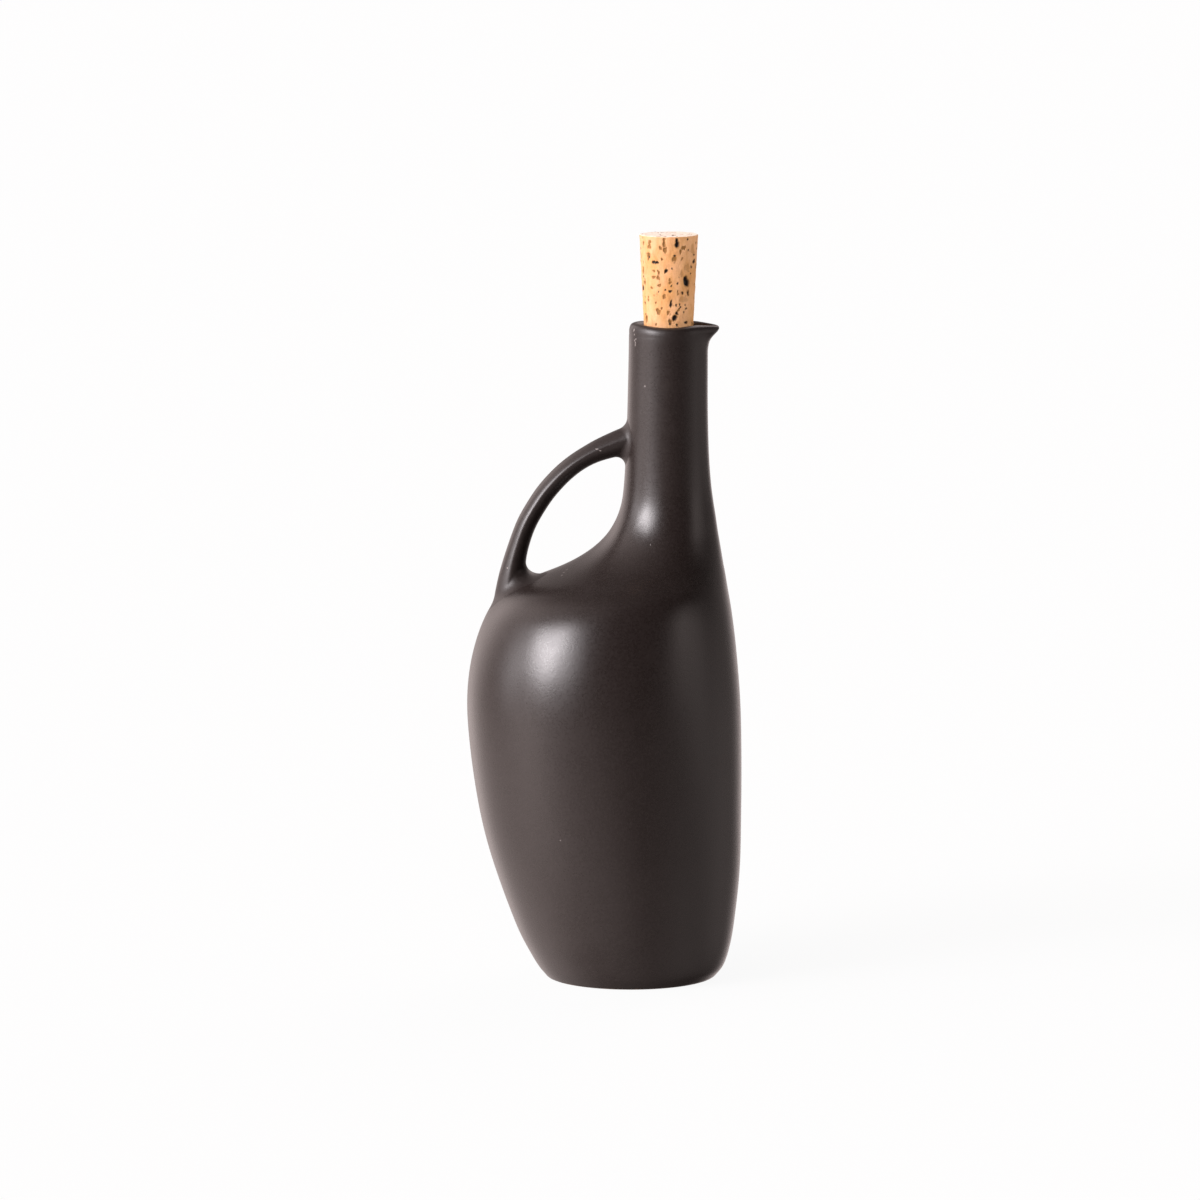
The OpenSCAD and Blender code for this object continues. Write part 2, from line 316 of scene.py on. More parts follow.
def section(t, w, th):
    """Offsets in the section: outwards from the loop, and sideways. A soft ridge runs along each side."""
    u = np.cos(th)
    n = np.where(u > 0, 0.44, 0.56) * t * u + 0.06 * t
    flat = ((u * u + 0.06) ** 0.75 - 0.06**0.75) / (1.06**0.75 - 0.06**0.75)
    y = np.sign(np.sin(th)) * w * np.sqrt(np.maximum(1 - flat, 0))
    return n, y


# evenly spaced points and outward normals round the section, by arc length
fine_th = np.linspace(0, 2 * np.pi, 4001)
fn, fy = section(7.0, 5.2, fine_th)
fl = np.concatenate([[0], np.cumsum(np.hypot(np.diff(fn), np.diff(fy)))])
theta = np.interp(np.arange(AROUND) / AROUND * fl[-1], fl, fine_th)
dn, dy = np.interp(theta, fine_th, blur(np.gradient(fn, fine_th), 0.06, fine_th[1])), \
    np.interp(theta, fine_th, blur(np.gradient(fy, fine_th), 0.06, fine_th[1]))
dl = np.hypot(dn, dy) + 1e-9
MN, MY = dy / dl, -dn / dl  # outward normal in the section


def fibre(s, g, j=slice(None)):
    """The point at arc length s on each fibre of the handle, stood off by g."""
    x, z, t, w = (np.interp(s, ARC, v) for v in (SX, SZ, ST, SW))
    tx, tz = np.interp(s, ARC, TX), np.interp(s, ARC, TZ)
    n, y = section(t, w, theta[j])
    n, y = n + g * MN[j], y + g * MY[j]
    return np.stack([x + tz * n, y, z - tx * n], -1)


def normal_of_fibre(s, j=slice(None)):
    tx, tz = np.interp(s, ARC, TX), np.interp(s, ARC, TZ)
    return np.stack([tz * MN[j], MY[j], -tx * MN[j]], -1)


def distance(p):
    """Distance outside the bottle's wall, and the wall's outward normal, near a point."""
    x, y, z = p[..., 0], p[..., 1], p[..., 2]
    c, r = wall_c(z), wall_r(z)
    phi = np.arctan2(y, x - c)
    e = 0.2
    dr = (wall_r(z + e) - wall_r(z - e)) / (2 * e)
    dc = (wall_c(z + e) - wall_c(z - e)) / (2 * e)
    gz = -(dr + dc * np.cos(phi))
    gl = np.sqrt(1 + gz * gz)
    raw = np.hypot(x - c, y) - r - wobble(phi, z)
    nrm = np.stack([np.cos(phi) / gl, np.sin(phi) / gl, gz / gl], -1)
    return raw / gl, nrm


def meet(d, g, lo, hi):
    """Arc length at which each fibre, stood off by g, is at distance d from the wall; the distance grows from lo to hi."""
    lo, hi = np.full(AROUND, float(lo)), np.full(AROUND, float(hi))
    for _ in range(44):
        mid = (lo + hi) / 2
        far = distance(fibre(mid, g))[0] > d
        hi, lo = np.where(far, mid, hi), np.where(far, lo, mid)
    return (lo + hi) / 2


mid_s = float(np.interp(-30, SX[::-1], ARC[::-1]))
ends = []
for side in (0, 1):
    start, stop = (2.0, mid_s) if side == 0 else (ARC[-1] - 2.0, mid_s)
    s0 = meet(0.0, 0.0, start, stop)
    wall_n = distance(fibre(s0, 0.0))[1]
    turn_angle = np.arccos(np.clip((wall_n * normal_of_fibre(s0)).sum(-1), -1, 1))
    up = MN  # +1 on the loop's outside, -1 on its inside
    if side == 0:
        radius = 2.0 + 1.0 * np.clip(-up, 0, 1) ** 2 + 2.0 * np.clip(up, 0, 1) ** 2
    else:
        radius = 3.3 + 2.2 * np.clip(-up, 0, 1) + 4.6 * np.clip(up, 0, 1) ** 2
    # where the fillet leaves the handle, and where it runs out on the wall
    s_first = meet(radius * (1 - np.cos(turn_angle)), 0.0, start, stop)
    stand = radius * (1 - np.cos(turn_angle))
    a, b = fibre(s_first, 0.0), fibre(meet(0.0, stand, start, stop), stand)
    way = np.sign(start - stop)
    leave = fibre(s_first + way * 0.3, 0.0) - a
    leave /= np.linalg.norm(leave, axis=1)[:, None]
    wall_n = distance(b)[1]
    chord = np.linalg.norm(b - a, axis=1)[:, None]
    arrive = (b - a) - ((b - a) * wall_n).sum(-1)[:, None] * wall_n
    arrive /= np.linalg.norm(arrive, axis=1)[:, None]
    reach = chord * (2 / 3) * (np.tan(turn_angle / 4) / np.sin(turn_angle / 2))[:, None]
    rows = []
    K = 18
    for k in range(K + 1):
        u = k / K
        rows.append((1 - u) ** 3 * a + 3 * u * (1 - u) ** 2 * (a + reach * leave)
                    + 3 * u * u * (1 - u) * (b - reach * arrive) + u**3 * b)
    for k, drop in ((K, 0.03), (K - 1, 0.0)):
        rows[k] = rows[k] - wall_n * drop
    for out, sink in ((0.25, 0.35), (0.45, 0.9)):
        rows.append(b + arrive * out - wall_n * sink)
    ends.append((rows, s_first))
(neck_rows, s_a), (low_rows, s_b) = ends
handle_rings = list(reversed(neck_rows))
lam = np.linspace(0, 1, 92)[1:-1]
for l in lam:
    handle_rings.append(fibre(s_a + l * (s_b - s_a), 0.0))
handle_rings += low_rows
h_low = handle_rings[0].mean(0)
h_high = handle_rings[-1].mean(0)
verts, faces = skin(handle_rings, h_low, h_high)
count = len(handle_rings)
handle = add_object("handle_glazed", verts, faces,
                    sharp_rings=[(2 * AROUND, AROUND), ((count - 3) * AROUND, AROUND)])

# ---------------------------------------------------------------- cork
rng = np.random.default_rng(7)
C_SEG, C_GAP = 384, 0.03
c_ang = np.arange(C_SEG) * 2 * np.pi / C_SEG
bevel = 0.45
prof = []  # radius, height from the cork's lower end
for f in (0.12, 0.25, 0.38, 0.5, 0.6, 0.7, 0.79, 0.87, 0.94):
    prof.append((f * (CORK_LOW - bevel), 0.0))
for q in np.linspace(0, 1, 5):
    prof.append((CORK_LOW - bevel + bevel * math.sin(q * math.pi / 2), bevel * (1 - math.cos(q * math.pi / 2))))
for h in np.linspace(bevel, CORK_LEN - bevel, 216)[1:-1]:
    prof.append((CORK_LOW + SEAT * h, h))
for q in np.linspace(0, 1, 5):
    prof.append((CORK_TOP - bevel + bevel * math.cos(q * math.pi / 2), CORK_LEN - bevel + bevel * math.sin(q * math.pi / 2)))
for f in np.linspace(0.985, 0.03, 54):
    prof.append((f * (CORK_TOP - bevel), CORK_LEN))
prof = np.array(prof)
slope = np.gradient(prof, axis=0)
slope /= np.linalg.norm(slope, axis=1)[:, None]
nr, nz = slope[:, 1], -slope[:, 0]
pos, nor = [], []
for (r, h), a, b in zip(prof, nr, nz):
    pos.append(np.stack([r * np.cos(c_ang), r * np.sin(c_ang), np.full(C_SEG, h)], 1))
    nor.append(np.stack([a * np.cos(c_ang), a * np.sin(c_ang), np.full(C_SEG, b)], 1))
P, Nn = np.concatenate(pos), np.concatenate(nor)

# pores: place, half-sizes along and across in millimetres, tilt, depth, kind (1 dark, with painted shade in the pit, 0
# brown)
pores = []


def side_pore(azim, h, along, across, tilt, depth, dark):
    if not dark:
        along, across = along * 1.2 + 0.1, across * 1.2 + 0.1
    pores.append(("side", math.radians(azim), h, along, across, math.radians(tilt), depth, dark))


# the ones that stand out, as azimuth from the front (-90 is straight ahead) and height
for p in (
    (-73.5, 41.1, 1.1, 0.76, 0, 1.0, 1), (-74.5, 42.4, 0.95, 0.4, 5, 0.7, 1),
    (-51.8, 28.25, 1.7, 0.85, 0, 1.3, 1), (-47.4, 27.5, 1.25, 0.95, 0, 1.3, 1), (-76.5, 15.4, 1.0, 0.85, 20, 1.1, 1), (-71.5, 17, 0.75, 0.36, -40, 0.7, 1),
    (-123.5, 34.85, 0.5, 0.62, 0, 0.7, 1), (-115.5, 34.75, 0.5, 0.55, 10, 0.7, 1),
    (-96, 31.85, 0.8, 0.46, 15, 0.7, 1), (-85.5, 20.35, 1.15, 0.42, 14, 0.7, 1), (-135.5, 36.85, 1.2, 0.55, 0, 0.35, 0),
    (-135, 36.45, 0.5, 0.3, 0, 0.5, 1), (-131.5, 41.75, 0.6, 0.55, 0, 0.25, 0), (-132, 40.25, 0.65, 0.6, 0, 0.3, 0),
    (-99.5, 42.85, 0.4, 0.5, 0, 0.25, 0), (-99.5, 41.35, 1.0, 0.48, 8, 0.3, 0), (-97.5, 39.15, 1.0, 0.52, 6, 0.3, 0),
    (-78, 37.15, 0.36, 0.36, 0, 0.5, 1), (-79, 36.15, 0.9, 0.6, 0, 0.2, 0), (-25.5, 34.75, 0.7, 0.85, 0, 0.8, 1),
    (-27, 37.05, 0.32, 0.38, 0, 0.4, 1), (-36, 32.95, 0.45, 0.32, -20, 0.5, 1), (-87, 24.75, 0.45, 0.5, 0, 0.6, 1),
    (-59, 24.05, 0.45, 0.44, 0, 0.6, 1), (-43, 23.85, 0.85, 0.44, -12, 0.7, 1), (-73.5, 19.85, 0.4, 0.3, 0, 0.5, 1),
    (-65, 20.05, 0.4, 0.26, 0, 0.5, 1), (-63.5, 19, 0.45, 0.3, 30, 0.5, 1), (-47.5, 18.5, 0.26, 0.5, 0, 0.5, 1),
    (-54, 17.3, 0.3, 0.3, 0, 0.4, 1), (-114, 17.6, 0.95, 0.7, 0, 0.35, 0), (-91, 17.3, 0.55, 0.45, 0, 0.25, 0),
    (-86.5, 13.9, 0.9, 0.5, 0, 0.4, 0), (-154, 14.5, 1.5, 0.6, 8, 0.5, 0), (-155, 16.2, 0.4, 0.3, 0, 0.5, 1),
    (-46.5, 13.6, 0.5, 0.6, 0, 0.7, 1), (-158, 31.65, 1.0, 0.6, 0, 0.3, 0), (-153.5, 27.35, 0.7, 0.65, 0, 0.3, 0),
    (-124, 29.55, 0.5, 0.55, 0, 0.25, 0), (-113, 29.45, 0.7, 0.46, 0, 0.25, 0), (-110.5, 26.75, 0.5, 0.5, 20, 0.25, 0),
    (-130, 25.75, 0.35, 0.4, 0, 0.2, 0), (-99.5, 23.05, 0.55, 0.42, 0, 0.2, 0), (-112, 31.45, 0.6, 0.36, -20, 0.3, 0),
    (-123, 31.75, 0.3, 0.5, 0, 0.2, 0), (-50, 42.75, 0.3, 0.36, 0, 0.4, 1), (-71, 27.45, 0.36, 0.3, 0, 0.4, 1),
    (-37.5, 30.65, 0.3, 0.3, 0, 0.4, 1), (-66, 38.55, 0.6, 0.4, 0, 0.2, 0), (-57, 39.85, 0.7, 0.4, 0, 0.2, 0),
    (-49, 32.85, 1.3, 0.9, 0, 0.15, 0), (-33, 38.85, 1.8, 0.9, -5, 0.15, 0), (-56, 21.75, 1.0, 1.4, 0, 0.12, 0),
    (-61, 30.65, 0.9, 0.6, 0, 0.15, 0), (-104, 35.95, 0.3, 0.35, 0, 0.2, 0), (-88, 28.85, 0.35, 0.3, 0, 0.2, 0),
    (-120, 20.65, 0.3, 0.25, 0, 0.2, 0), (-142, 21.35, 0.35, 0.3, 0, 0.2, 0), (-106, 18.75, 0.3, 0.3, 0, 0.2, 0),
):
    side_pore(*p)
# the rest of the side, which carries the same kinds of pore
for _ in range(64):
    az, h = rng.uniform(-12, 205), rng.uniform(1.0, 43.2)
    big = rng.random() < 0.16
    dark = int(rng.random() < 0.5 or big)
    along = rng.uniform(0.9, 2.0) if big else rng.uniform(0.3, 1.0)
    side_pore(az, h, along, along * rng.uniform(0.4, 0.8), rng.normal(0, 12),
              (0.9 if big else 0.45) * rng.uniform(0.7, 1.2) if dark else 0.25, dark)
for _ in range(120):
    az, h = rng.uniform(0, 360), rng.uniform(0.6, 43.4)
    a = rng.uniform(0.16, 0.42)
    side_pore(az, h, a * rng.uniform(1, 1.7), a, rng.normal(0, 20), rng.uniform(0.12, 0.35), int(rng.random() < 0.35))
# on the two ends the pores run across, as straight thin slots
for top in (1, 0):
    r_end = CORK_TOP if top else CORK_LOW
    for _ in range(26):
        r, a = r_end * math.sqrt(rng.random()) * 0.9, rng.uniform(0, 2 * math.pi)
        long = rng.uniform(0.3, 1.5)
        pores.append(("top" if top else "end", r * math.cos(a), r * math.sin(a), long, rng.uniform(0.16, 0.4),
                      rng.normal(0.35, 0.12), rng.uniform(0.2, 0.6), int(rng.random() < 0.2)))

push = np.zeros(len(P))
pore_fill_and_shade_mask, brown_mask = np.zeros(len(P)), np.zeros(len(P))
phi_all = np.arctan2(P[:, 1], P[:, 0])
rad_all = np.hypot(P[:, 0], P[:, 1])
is_side = np.repeat(nr > 0.6, C_SEG)
is_top = np.repeat((nz > 0.5), C_SEG)
is_end = np.repeat((nz < -0.5), C_SEG)
for kind, a, b, along, across, tilt, depth, dark in pores:
    if kind == "side":
        u = wrap(phi_all - a) * rad_all
        v = P[:, 2] - b
        near = is_side & (np.abs(u) < 4) & (np.abs(v) < 4)
        seed = a * 7.3 + b
    else:
        u, v = P[:, 0] - a, P[:, 1] - b
        near = (is_top if kind == "top" else is_end) & (np.abs(u) < 3) & (np.abs(v) < 3)
        seed = a * 3.1 + b * 1.7
    idx = np.flatnonzero(near)
    if not len(idx):
        continue
    uu = u[idx] * math.cos(tilt) - v[idx] * math.sin(tilt)
    vv = u[idx] * math.sin(tilt) + v[idx] * math.cos(tilt)
    th = np.arctan2(vv / along, uu / across)
    calm = 0.35 if dark and depth > 0.95 else 1.0
    ragged = 1 + calm * (0.16 * np.sin(2 * th + seed) + 0.13 * np.sin(3 * th + 2.3 * seed) + 0.09 * np.sin(5 * th + 4.1 * seed))
    q = np.hypot(uu / across, vv / along) / ragged
    pit = 1 - step(q, 0.55, 1.12)
    push[idx] = np.maximum(push[idx], depth * pit)
    # dark pores: the pit is painted near-black, which is the pore's own dark filling deepened with painted shade of the
    # hole
    if dark:
        pore_fill_and_shade_mask[idx] = np.maximum(pore_fill_and_shade_mask[idx], 1 - step(q, 0.82, 1.12))
        brown_mask[idx] = np.maximum(brown_mask[idx], 0.8 * (1 - step(q, 1.0, 1.55)))
    else:
        brown_mask[idx] = np.maximum(brown_mask[idx], (0.95 if depth > 0.16 else 0.35) * (1 - step(q, 0.75, 1.1)))
# a finely uneven skin, inwards only
rough = np.zeros(len(P))
for fr, am in ((0.9, 0.05), (1.9, 0.035), (3.7, 0.02)):
    for _ in range(5):
        d = rng.normal(size=3)
        d /= np.linalg.norm(d)
        rough += am / 2.2 * np.sin(P @ d * fr * 2 + rng.uniform(0, 6.28))
rough = np.clip(rough - rough.min(), 0, 0.3) * 0.6
P = P - Nn * (C_GAP + push + rough)[:, None]
cork_rings = [P[i * C_SEG:(i + 1) * C_SEG] + (NECK_X, 0, CORK_Z) for i in range(len(prof))]
verts, faces = skin(cork_rings, (NECK_X, 0, CORK_Z + C_GAP), (NECK_X, 0, CORK_Z + CORK_LEN - C_GAP - 0.05))
cork = add_object("cork_natural", verts, faces)
for name, values in (("pore_fill_and_shade", pore_fill_and_shade_mask), ("brown_pore", brown_mask),
                     ("end_grain", np.repeat(np.abs(nz) > 0.5, C_SEG).astype(float))):
    at = cork.data.attributes.new(name, "FLOAT", "POINT")
    at.data.foreach_set("value", np.concatenate([values, [0, 0]]).astype(np.float32))


# ---------------------------------------------------------------- materials
class Tree:
    """A short way to write node trees."""

    def __init__(self, name):
        self.mat = bpy.data.materials.new(name)
        self.mat.use_nodes = True
        self.nt = self.mat.node_tree
        self.nt.nodes.clear()
        self.out = self.nt.nodes.new("ShaderNodeOutputMaterial")

    def add(self, kind, inputs=None, **props):
        n = self.nt.nodes.new(kind)
        for k, v in props.items():
            setattr(n, k, v)
        for k, v in (inputs or {}).items():
            sock = n.inputs[k]
            if isinstance(v, bpy.types.NodeSocket):
                self.nt.links.new(v, sock)
            else:
                sock.default_value = v
        return n

    def noise(self, vec, scale, detail=3.0, rough=0.5, distort=0.0):
        return self.add("ShaderNodeTexNoise", {"Vector": vec, "Scale": scale, "Detail": detail,
                                               "Roughness": rough, "Distortion": distort}).outputs[0]

    def map(self, value, a, b, c, d, smooth=True):
        return self.add("ShaderNodeMapRange", {0: value, 1: a, 2: b, 3: c, 4: d},
                        interpolation_type="SMOOTHSTEP" if smooth else "LINEAR").outputs[0]

    def math(self, op, a, b=0.0, clamp=False):
        return self.add("ShaderNodeMath", {0: a, 1: b}, operation=op, use_clamp=clamp).outputs[0]

    def mix(self, factor, a, b, mode="MIX"):
        n = self.add("ShaderNodeMix", {0: factor, 6: a, 7: b}, data_type="RGBA", blend_type=mode)
        return n.outputs[2]


def rgb(r, g, b):
    return (r, g, b, 1.0)


def surface_point(px, py, on=None):
    """A point on the front of the bottle's wall at X = px, Z = py, in metres."""
    c, r = float(wall_c(py)), float(wall_r(py))
    return (px * MM, -math.sqrt(max(r * r - (px - c) ** 2, 0.01)) * MM, py * MM)


def glaze(name, flecks, foot):
    t = Tree(name)
    co = t.add("ShaderNodeTexCoord").outputs["Object"]
    broad = t.noise(co, 26, 2.0, 0.5)
    cloud = t.noise(co, 150, 3.0, 0.55)
    grain = t.noise(co, 1100, 3.0, 0.6)
    base = t.mix(t.map(broad, 0.3, 0.7, 0, 1), rgb(0.0168, 0.0117, 0.0106), rgb(0.0184, 0.0130, 0.0118))
    base = t.mix(t.math("MULTIPLY", t.map(cloud, 0.3, 0.7, 0, 1), 0.35), base, rgb(0.0240, 0.0178, 0.0162))
    base = t.mix(t.math("MULTIPLY", t.map(grain, 0.4, 0.72, 0, 1), 0.4), base, rgb(0.032, 0.025, 0.023))
    # minute crystals of the matt glaze
    cells = t.add("ShaderNodeTexVoronoi", {"Vector": co, "Scale": 1400.0}, feature="F1").outputs["Distance"]
    sparse = t.noise(co, 700, 2.0, 0.5)
    crystal = t.math("MULTIPLY", t.map(cells, 0.1, 0.24, 1, 0), t.map(sparse, 0.50, 0.66, 0, 1))
    base = t.mix(t.math("MULTIPLY", crystal, 0.35), base, rgb(0.075, 0.067, 0.062))
    rough = t.add("ShaderNodeMath", {0: t.map(cloud, 0.25, 0.75, -0.012, 0.012, False), 1: 0.285 if foot else 0.345}, operation="ADD").outputs[0]
    rough = t.math("ADD", rough, t.map(grain, 0.3, 0.7, -0.025, 0.025, False))
    fine = 1.0 if foot else 0.45
    height = t.math("ADD", t.math("MULTIPLY", t.noise(co, 520, 2.0, 0.5), 0.000022 * fine),
                    t.math("MULTIPLY", t.noise(co, 1500, 2.0, 0.55), 0.000020 * fine))
    # small pale flecks where the glaze has broken or been knocked
    if flecks:
        jitter = t.add("ShaderNodeTexNoise", {"Vector": co, "Scale": 700.0, "Detail": 2.0}).outputs["Color"]
        jit = t.add("ShaderNodeVectorMath", {0: jitter, 1: (0.5, 0.5, 0.5)}, operation="SUBTRACT").outputs[0]
        jit = t.add("ShaderNodeVectorMath", {0: jit, "Scale": 0.0011}, operation="SCALE").outputs[0]
        moved = t.add("ShaderNodeVectorMath", {0: co, 1: jit}, operation="ADD").outputs[0]
        mask = None
        for (x, y, z), size, stretch, amount in flecks:
            away = t.add("ShaderNodeVectorMath", {0: moved, 1: (x, y, z)}, operation="SUBTRACT").outputs[0]
            away = t.add("ShaderNodeVectorMath", {0: away, 1: stretch}, operation="MULTIPLY").outputs[0]
            ln = t.add("ShaderNodeVectorMath", {0: away}, operation="LENGTH").outputs["Value"]
            one = t.math("MULTIPLY", t.map(ln, size * 0.35 * MM, size * MM, 1, 0), amount)
            mask = one if mask is None else t.math("MAXIMUM", mask, one)
        base = t.mix(mask, base, rgb(0.30, 0.265, 0.25))
        rough = t.math("ADD", rough, t.math("MULTIPLY", mask, 0.2))
        height = t.math("SUBTRACT", height, t.math("MULTIPLY", mask, 0.0001))
    if foot:
        # the lip is a little duller, from use
        up = t.add("ShaderNodeSeparateXYZ", {0: co}).outputs[2]
        rough = t.math("ADD", rough, t.map(up, 0.2235, 0.2290, 0, 0.11))
        # the foot ring is wiped clean before firing: bare clay, with an uneven edge of glaze above it
        sep = t.add("ShaderNodeSeparateXYZ", {0: co}).outputs
        xy = t.add("ShaderNodeCombineXYZ", {0: sep[0], 1: sep[1], 2: 0.0}).outputs[0]
        radius = t.add("ShaderNodeVectorMath", {0: xy}, operation="LENGTH").outputs["Value"]
        line = t.math("ADD", sep[2], t.map(t.noise(co, 160, 3.0, 0.6), 0.3, 0.7, -0.00028, 0.00028, False))
        bare = t.math("MULTIPLY", t.map(line, 0.00018, 0.00050, 1, 0), t.map(radius, 0.0205, 0.0215, 0, 1))
        clay = t.mix(t.map(t.noise(co, 600, 4.0, 0.65), 0.3, 0.7, 0, 1), rgb(0.155, 0.105, 0.075), rgb(0.235, 0.170, 0.125))
        iron = t.add("ShaderNodeTexVoronoi", {"Vector": co, "Scale": 900.0}, feature="F1").outputs["Distance"]
        clay = t.mix(t.map(iron, 0.08, 0.2, 0.7, 0), clay, rgb(0.05, 0.03, 0.02))
        base = t.mix(bare, base, clay)
        rough = t.math("ADD", rough, t.math("MULTIPLY", bare, 0.48))
        height = t.math("ADD", height, t.math("MULTIPLY", bare, t.math("MULTIPLY", t.noise(co, 1100, 4.0, 0.7), 0.00025)))
    if not foot:
        # duller in the two joins, where the highlights are soft
        at = t.add("ShaderNodeSeparateXYZ", {0: co}).outputs
        rough = t.math("ADD", rough, t.map(at[2], 0.1410, 0.1460, 0.12, 0))
        rough = t.math("ADD", rough, t.map(at[0], -0.0045, -0.0015, 0, 0.12))
    nrm = t.add("ShaderNodeBump", {"Strength": 1.0, "Distance": 1.0, "Height": height}).outputs[0]
    bsdf = t.add("ShaderNodeBsdfPrincipled", {"Base Color": base, "Roughness": rough, "Normal": nrm, "IOR": 1.5})
    t.nt.links.new(bsdf.outputs[0], t.out.inputs[0])
    return t.mat


def cork_material():
    t = Tree("natural_cork")
    co = t.add("ShaderNodeTexCoord").outputs["Object"]
    dark = t.add("ShaderNodeAttribute", attribute_name="pore_fill_and_shade").outputs["Fac"]
    brown = t.add("ShaderNodeAttribute", attribute_name="brown_pore").outputs["Fac"]
    end = t.add("ShaderNodeAttribute", attribute_name="end_grain").outputs["Fac"]
    tall = t.add("ShaderNodeMapping", {"Vector": co, "Scale": (1.0, 1.0, 0.45)}).outputs[0]
    patch = t.noise(tall, 190, 3.0, 0.55, 0.4)
    grain = t.noise(co, 1500, 4.0, 0.7)
    mottled = t.noise(tall, 620, 3.0, 0.6)
    base = t.mix(t.map(patch, 0.36, 0.66, 0, 1), rgb(0.80, 0.436, 0.212), rgb(0.69, 0.338, 0.110))
    base = t.mix(t.math("MULTIPLY", t.map(mottled, 0.45, 0.75, 0, 1), 0.45), base, rgb(0.50, 0.20, 0.052))
    base = t.mix(t.math("MULTIPLY", t.map(grain, 0.5, 0.8, 0, 1), 0.3), base, rgb(0.40, 0.16, 0.05))
    base = t.mix(t.math("MULTIPLY", t.map(grain, 0.2, 0.42, 1, 0), 0.3), base, rgb(0.87, 0.54, 0.28))
    # growth lines on the ends
    flat = t.add("ShaderNodeMapping", {"Vector": co, "Scale": (0.25, 1.6, 1.0), "Rotation": (0, 0, 0.35)}).outputs[0]
    lines = t.noise(flat, 900, 3.0, 0.6)
    pale = t.mix(t.map(lines, 0.4, 0.7, 0, 1), rgb(0.96, 0.86, 0.76), rgb(0.90, 0.72, 0.55))
    base = t.mix(t.math("MULTIPLY", end, 0.95), base, pale)
    # scattered small specks between the pores
    cells = t.add("ShaderNodeTexVoronoi", {"Vector": co, "Scale": 520.0}, feature="F1")
    speck = t.math("MULTIPLY", t.map(cells.outputs["Distance"], 0.16, 0.30, 1, 0), t.map(t.noise(co, 330, 2.0), 0.55, 0.63, 0, 1))
    base = t.mix(t.math("MULTIPLY", speck, 0.6), base, rgb(0.30, 0.14, 0.05))
    brown_c = t.mix(t.map(grain, 0.35, 0.65, 0, 1), rgb(0.215, 0.090, 0.010), rgb(0.30, 0.132, 0.018))
    base = t.mix(brown, base, brown_c)
    # pits of dark pores: near-black, partly the pores' own filling and partly painted shade in the recess
    base = t.mix(dark, base, t.mix(t.map(grain, 0.4, 0.7, 0, 1), rgb(0.010, 0.008, 0.008), rgb(0.035, 0.024, 0.018)))
    height = t.math("ADD", t.math("MULTIPLY", grain, 0.00012), t.math("MULTIPLY", mottled, 0.00016))
    height = t.math("SUBTRACT", height, t.math("MULTIPLY", speck, 0.00012))
    nrm = t.add("ShaderNodeBump", {"Strength": 0.8, "Distance": 1.0, "Height": height}).outputs[0]
    rough = t.map(grain, 0.3, 0.7, 0.58, 0.76, False)
    bsdf = t.add("ShaderNodeBsdfPrincipled", {"Base Color": base, "Roughness": rough, "Normal": nrm, "IOR": 1.5,
                                              "Specular IOR Level": 0.55, "Sheen Weight": 0.06, "Sheen Roughness": 0.5})
    t.nt.links.new(bsdf.outputs[0], t.out.inputs[0])
    return t.mat


def fleck(x, z, size, stretch=(1, 1, 1), amount=1.0):
    return surface_point(x, z), size, stretch, amount


bottle.data.materials.append(glaze("satin_glaze_bottle", [
    fleck(4.9, 209.9, 0.36, amount=0.55), fleck(6.7, 155.4, 0.38, amount=0.33), fleck(-24.6, 55.2, 0.48, amount=0.8),
    ((0.0012, -0.0064, 0.2290), 0.45, (1, 1, 0.6), 1.0), fleck(1.2, 227.5, 0.36, (1, 1, 0.6), 0.55), fleck(1.8, 225.9, 0.38, (1, 1, 0.6), 0.75),
    fleck(1.25, 225.4, 0.36, (1, 1, 0.6), 0.55), fleck(1.55, 224.6, 0.36, (1, 1, 0.5), 0.75), fleck(1.55, 223.8, 0.38, (1, 1, 0.5), 0.95),
    # a faint slanting scuff by the handle's foot
    fleck(-22.4, 145.2, 0.5, (0.7, 0.5, 0.7), 0.22), fleck(-23.3, 144.5, 0.5, (0.7, 0.5, 0.7), 0.26), fleck(-24.0, 143.8, 0.5, (0.7, 0.5, 0.7), 0.22),
], True))
handle.data.materials.append(glaze("satin_glaze_handle", [
    ((-0.0120, -0.0051, 0.1872), 0.5, (0.5, 1, 1.6), 0.85), ((-0.0106, -0.0051, 0.1867), 0.4, (0.6, 1, 1.1), 0.7),
    ((-0.0431, -0.0049, 0.1454), 0.42, (1, 1, 1), 1.0), ((-0.0424, -0.0050, 0.1478), 0.3, (1, 1, 1), 0.5),
], False))
cork.data.materials.append(cork_material())

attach(bottle, "cruet")
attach(handle, "cruet")
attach(cork, "stopper")
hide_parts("bottle")
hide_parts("handle")
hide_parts("cork_stopper")

# ---------------------------------------------------------------- studio
def stage_piece(ob):
    """Seen by the camera only: the light on the object comes from the studio around it."""
    ob.visible_diffuse = ob.visible_glossy = ob.visible_transmission = False
    ob.visible_volume_scatter = ob.visible_shadow = False
    bpy.context.scene.collection.objects.link(ob)


floor_mesh = bpy.data.meshes.new("floor")
R, n = 11.0, 96
floor_mesh.from_pydata([(R * math.cos(2 * math.pi * i / n), R * math.sin(2 * math.pi * i / n), 0) for i in range(n)], [], [list(range(n))])
t = Tree("pale_floor")
diff = t.add("ShaderNodeBsdfDiffuse", {"Color": rgb(0.06, 0.06, 0.06)})
glow = t.add("ShaderNodeEmission", {"Color": rgb(1, 1, 1), "Strength": 0.93})
both = t.add("ShaderNodeAddShader", {0: diff.outputs[0], 1: glow.outputs[0]})
